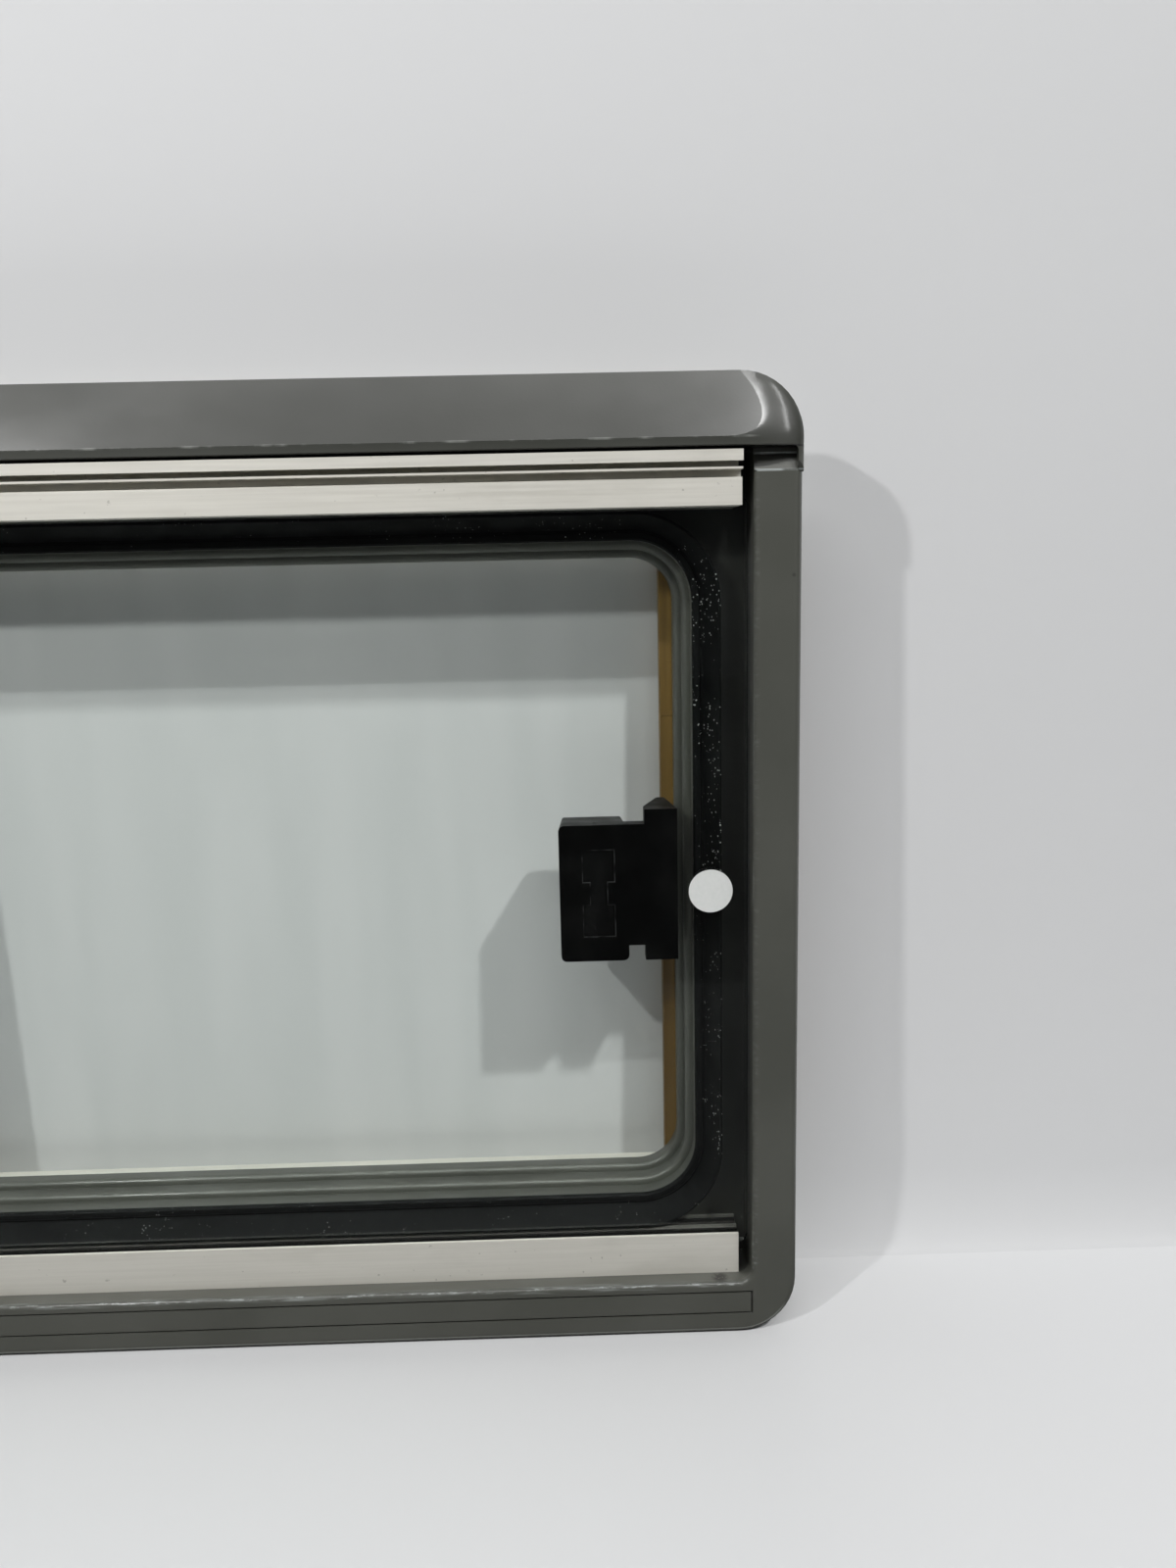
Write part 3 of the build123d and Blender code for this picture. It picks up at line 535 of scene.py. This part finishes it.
glass, tree, shader = new_material("tinted_glass")
point, _ = place_of(tree)
wiped = patches(tree, point, scale=22, stretch=(1.6, 1, 0.22), detail=5)
set_inputs(tree, shader, {
    "Base Color": blend(tree, wiped, *GLASS_TINTS),
    "Transmission Weight": 1,
    "Roughness": 0,
    "IOR": GLASS_IOR,
})
path = tree.nodes.new("ShaderNodeLightPath").outputs
through = calc(tree, "MAXIMUM", path["Is Shadow Ray"], path["Is Diffuse Ray"])
clear = tree.nodes.new("ShaderNodeBsdfTransparent")
set_inputs(tree, clear, {"Color": GLASS_SHADE})
show_mix(tree, through, shader.outputs[0], clear.outputs[0])
dress(["sliding_glass", "fixed_glass"], glass)


# Seals: black rubber lips behind the panes, extruded and bent round the opening's corners.
# Grit and dried droplets gather on their face, most of all at the sides.
RUBBER_COLOURS = ((0.0018, 0.0022, 0.0022, 1), (0.0045, 0.0052, 0.0052, 1))
RUBBER_ROUGHNESS = (0.50, 0.70)
RUBBER_SPECULAR = 0.09
GRIT_COLOUR = (0.52, 0.53, 0.52, 1)
GRIT_SCALE = 560
GRIT_REACH = 0.27
GRIT_SHARE = 0.72
GRIT_SIDES = (0.395, 0.420)

rubber, tree, shader = new_material("black_rubber")
point, (x, y, z) = place_of(tree)
cells = tree.nodes.new("ShaderNodeTexVoronoi")
set_inputs(tree, cells, {"Vector": point, "Scale": GRIT_SCALE})
crowded = patches(tree, point, scale=38, between=(0.36, 0.66), detail=4)
picked = patches(tree, point, scale=300, between=(0.40, 0.62), detail=2)
to_sides = ramp(tree, calc(tree, "ABSOLUTE", x), GRIT_SIDES, to=(0.6, 1.0))
grit = calc(tree, "LESS_THAN", cells.outputs["Distance"], times(tree, crowded, to_sides, picked, GRIT_REACH))
colour = blend(tree, patches(tree, point, scale=18, between=(0.4, 0.8), detail=5), *RUBBER_COLOURS)
set_inputs(tree, shader, {
    "Base Color": blend(tree, times(tree, grit, GRIT_SHARE), colour, GRIT_COLOUR),
    "Roughness": patches(tree, point, scale=60, to=RUBBER_ROUGHNESS, detail=4),
    "Specular IOR Level": RUBBER_SPECULAR,
})
dress(["right_seal", "left_seal"], rubber)


# Side strips: ochre strips behind the reveal's sides, butted where the reveal is widest and screwed on.
# Wood with a clear varnish, sawn along the grain.
WOOD_COLOURS = ((0.15, 0.085, 0.018, 1), (0.27, 0.16, 0.038, 1))
WOOD_RING_COLOUR = (0.12, 0.062, 0.014, 1)
WOOD_ROUGHNESS = (0.38, 0.55)
WOOD_BUMP = 0.00006

wood, tree, shader = new_material("ochre_wood")
point, _ = place_of(tree)
grain = noise(tree, point, scale=160, stretch=(1, 1, 0.035), detail=6)
rings = patches(tree, point, scale=26, between=(0.45, 0.7), to=(0.0, 0.5), stretch=(1, 1, 0.06))
colour = blend(tree, ramp(tree, grain, between=(0.3, 0.7)), *WOOD_COLOURS)
set_inputs(tree, shader, {
    "Base Color": blend(tree, rings, colour, WOOD_RING_COLOUR),
    "Roughness": ramp(tree, grain, between=(0.3, 0.7), to=WOOD_ROUGHNESS),
})
bump(tree, shader, grain, WOOD_BUMP)
dress([name for name in nodes if name.startswith(("rear_strip_right", "rear_strip_left"))], wood)


# Stiles and latch: the panes' black edges where they meet, and the hand latch on the sliding pane.
# Moulded from plastic with a fine grain and fixed to the glass; painted highlights outline the latch's
# pockets on its face against the glass.
PLASTIC_COLOURS = ((0.0022, 0.0022, 0.0023, 1), (0.0055, 0.0055, 0.0055, 1))
PLASTIC_ROUGHNESS = (0.34, 0.48)
PLASTIC_SPECULAR = 0.09
PLASTIC_BUMP = 0.00003
POCKETS = (
    (0.3708, 0.2428, 0.0080, 0.00825),
    (0.3708, 0.2140, 0.0080, 0.00825),
    (0.3708, 0.2284, 0.00425, 0.0144),
)
POCKET_FACE_Y = (0.0016, 0.0024)
RIM_HIGHLIGHT_COLOUR = (0.055, 0.056, 0.056, 1)
RIM_HIGHLIGHT_FADE = (0.0002, 0.0006)

plastic, tree, shader = new_material("black_plastic")
point, (x, y, z) = place_of(tree)
colour = blend(tree, patches(tree, point, scale=40, between=(0.45, 0.75), detail=5), *PLASTIC_COLOURS)
# Painted highlight: pale lines along the pockets' outlines, on the face against the glass.
outside = 1.0
for middle_x, middle_z, half_w, half_h in POCKETS:
    beside = calc(tree, "SUBTRACT", off(tree, x, middle_x), half_w)
    above = calc(tree, "SUBTRACT", off(tree, z, middle_z), half_h)
    outside = calc(tree, "MINIMUM", outside, calc(tree, "MAXIMUM", beside, above))
rim = times(tree, fading(tree, calc(tree, "ABSOLUTE", outside), RIM_HIGHLIGHT_FADE), fading(tree, y, POCKET_FACE_Y))
rim = times(tree, rim, patches(tree, point, scale=150, between=(0.35, 0.6), detail=4))
set_inputs(tree, shader, {
    "Base Color": blend(tree, rim, colour, RIM_HIGHLIGHT_COLOUR),
    "Roughness": patches(tree, point, scale=90, to=PLASTIC_ROUGHNESS, detail=4),
    "Specular IOR Level": PLASTIC_SPECULAR,
})
bump(tree, shader, noise(tree, point, scale=1500, detail=2), PLASTIC_BUMP)
dress(["fixed_stile", "sliding_stile", "latch_grip", "latch_catch"], plastic)


# Strip screws: pan heads with a cross recess, which hold the strips to the reveal's back.
# Pressed cold from steel, plated with zinc and driven in by hand. Here the top's own faces stay over
# each recess and close it, so that the heads look plain.
SCREW_R = 0.0036
SCREW_H = 0.0019
SCREW_ROUND = 0.0013
SCREW_ROUND_STEPS = 4
SCREW_SIDES = 24
SCREW_TURN = 37
CROSS_REACH = 0.0021
CROSS_W = 0.0009
CROSS_SINK = 0.0012
SIDE_SCREWS = (0.18, 0.82)
CROSS_SCREWS = 6
CROSS_SCREW_INSET = 0.055
CROSS_SCREW_HEIGHTS = {"rear_strip_top": 0.65, "rear_strip_bottom": 0.35}
ZINC_COLOURS = ((0.46, 0.46, 0.44, 1), (0.66, 0.66, 0.63, 1))
ZINC_METAL = 0.9
ZINC_ROUGHNESS = (0.28, 0.45)

zinc, tree, shader = new_material("zinc_plate")
point, _ = place_of(tree)
dulled = noise(tree, point, scale=380, detail=5)
set_inputs(tree, shader, {
    "Base Color": blend(tree, dulled, *ZINC_COLOURS),
    "Roughness": ramp(tree, dulled, between=(0.3, 0.7), to=ZINC_ROUGHNESS),
    "Metallic": ZINC_METAL,
})

head = bmesh.new()
bmesh.ops.create_circle(head, cap_ends=True, segments=SCREW_SIDES, radius=SCREW_R)
raised = bmesh.ops.extrude_face_region(head, geom=head.faces[:])["geom"]
bmesh.ops.translate(head, verts=new_verts(raised), vec=(0, 0, SCREW_H))
rim = [edge for edge in head.edges if min(v.co.z for v in edge.verts) > SCREW_H / 2]
bmesh.ops.bevel(
    head, geom=rim, offset=SCREW_ROUND, segments=SCREW_ROUND_STEPS, profile=0.5, affect="EDGES", material=-1
)
for direction in ((1, 0, 0), (0, 1, 0)):
    for reach in (-CROSS_REACH, -CROSS_W / 2, CROSS_W / 2, CROSS_REACH):
        whole = head.verts[:] + head.edges[:] + head.faces[:]
        bmesh.ops.bisect_plane(head, geom=whole, plane_co=Vector(direction) * reach, plane_no=direction)
cross = []
for face in head.faces:
    middle = face.calc_center_median()
    arms = sorted((abs(middle.x), abs(middle.y)))
    if face.normal.z > 0.99 and arms[0] < CROSS_W / 2 and arms[1] < CROSS_REACH:
        cross.append(face)
sunk = bmesh.ops.extrude_face_region(head, geom=cross)["geom"]
bmesh.ops.translate(head, verts=new_verts(sunk), vec=(0, 0, -CROSS_SINK))
bmesh.ops.recalc_face_normals(head, faces=head.faces)
one_head = bpy.data.meshes.new("one_head")
head.to_mesh(one_head)
head.free()

screw_spots = []
for node in nodes:
    if not node.startswith("rear_strip"):
        continue
    low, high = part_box(node)
    if node in CROSS_SCREW_HEIGHTS:
        spot_z = low.z + (high.z - low.z) * CROSS_SCREW_HEIGHTS[node]
        pitch = (high.x - low.x - 2 * CROSS_SCREW_INSET) / (CROSS_SCREWS - 1)
        for step in range(CROSS_SCREWS):
            screw_spots.append((low.x + CROSS_SCREW_INSET + pitch * step, high.y, spot_z))
    else:
        for share in SIDE_SCREWS:
            screw_spots.append(((low.x + high.x) / 2, high.y, low.z + (high.z - low.z) * share))
screws = bmesh.new()
for number, spot in enumerate(screw_spots):
    screws.from_mesh(one_head)
    screws.verts.ensure_lookup_table()
    fresh = screws.verts[-len(one_head.vertices):]
    turn = Matrix.Rotation(-math.pi / 2, 4, "X") @ Matrix.Rotation(math.radians(SCREW_TURN * number), 4, "Z")
    bmesh.ops.transform(screws, matrix=Matrix.Translation(spot) @ turn, verts=fresh)
for face in screws.faces:
    face.smooth = len(face.verts) == 4 and abs(face.normal.y) < 0.98
strip_screws = new_piece("strip_screws", screws, zinc)
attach(strip_screws, "frame")


# Sticker: a plain disc on the outside of the sliding pane, level with the latch.
# White gummed paper, punched out round and pressed on.
STICKER_SPOT = (0.4275, 0.2290)
STICKER_R = 0.0112
STICKER_T = 0.00012
STICKER_SIDES = 48
PAPER_COLOURS = ((0.66, 0.68, 0.66, 1), (0.76, 0.77, 0.75, 1))
PAPER_ROUGHNESS = 0.7
PAPER_BUMP = 0.00002

paper, tree, shader = new_material("white_paper")
point, _ = place_of(tree)
set_inputs(tree, shader, {
    "Base Color": blend(tree, noise(tree, point, scale=500, detail=4), *PAPER_COLOURS),
    "Roughness": PAPER_ROUGHNESS,
})
bump(tree, shader, noise(tree, point, scale=900), PAPER_BUMP)

glass_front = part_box("sliding_glass")[0].y
disc = bmesh.new()
bmesh.ops.create_circle(disc, cap_ends=True, segments=STICKER_SIDES, radius=STICKER_R)
lifted = bmesh.ops.extrude_face_region(disc, geom=disc.faces[:])["geom"]
bmesh.ops.translate(disc, verts=new_verts(lifted), vec=(0, 0, STICKER_T))
bmesh.ops.rotate(disc, verts=disc.verts, matrix=Matrix.Rotation(math.pi / 2, 3, "X"))
bmesh.ops.translate(disc, verts=disc.verts, vec=(STICKER_SPOT[0], glass_front, STICKER_SPOT[1]))
bmesh.ops.recalc_face_normals(disc, faces=disc.faces)
sticker = new_piece("blank_sticker", disc, paper)
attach(sticker, "pane")
